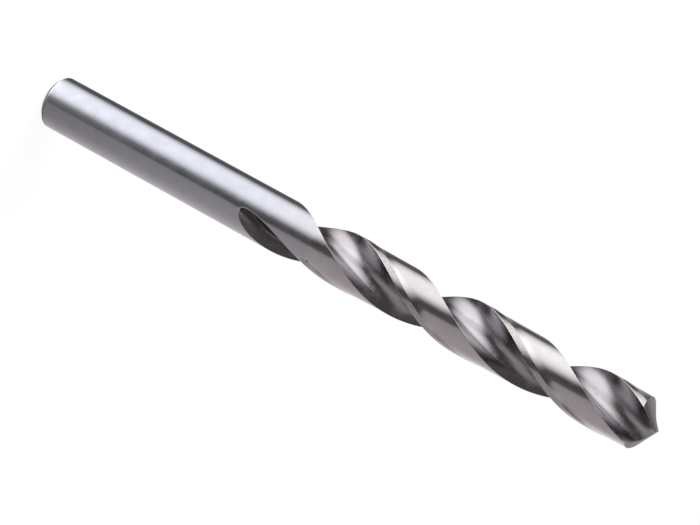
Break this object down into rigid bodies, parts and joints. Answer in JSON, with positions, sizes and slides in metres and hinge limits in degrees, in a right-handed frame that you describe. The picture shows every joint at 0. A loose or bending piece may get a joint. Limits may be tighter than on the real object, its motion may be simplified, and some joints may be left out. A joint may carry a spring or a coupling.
{
  "type": "twist drill bit",
  "caption": "Straight-shank twist drill for metal with right-hand helical flutes, raised margins, a chamfered shank end and a 118 degree point.",
  "frame": {"origin": "centre of the flat shank end", "axes": "+Z along the drill axis from the shank end to the point, +X from the axis along the first cutting lip"},
  "size_m": [0.0102, 0.0102, 0.1327],
  "materials": {
    "ground_steel": "bright ground high-speed steel"
  },
  "bodies": {
    "root": {"twist_drill": "ground_steel"}
  },
  "joints": []
}
